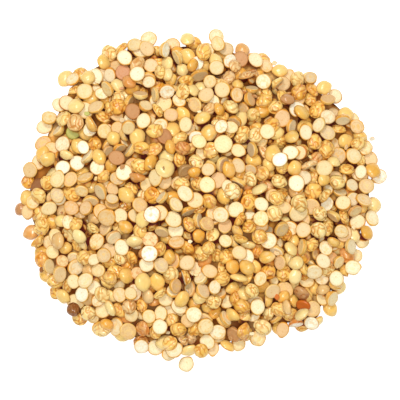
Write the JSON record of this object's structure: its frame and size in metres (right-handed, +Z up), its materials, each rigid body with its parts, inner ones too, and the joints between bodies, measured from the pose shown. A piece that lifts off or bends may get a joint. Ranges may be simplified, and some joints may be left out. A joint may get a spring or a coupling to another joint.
{
  "type": "heap of dry split pulses",
  "caption": "Low round heap of dry split pulses, lying loose with pale cut faces and golden wrinkled backs mixed.",
  "frame": {"origin": "on the table, under the middle of the heap's box", "axes": "+Z up, +X to the right and +Y to the top of the picture, which looks straight down"},
  "size_m": [0.1533, 0.1364, 0.0209],
  "materials": {
    "dry_pulse": "satin"
  },
  "bodies": {
    "root": {"heap": "dry_pulse"}
  },
  "joints": []
}
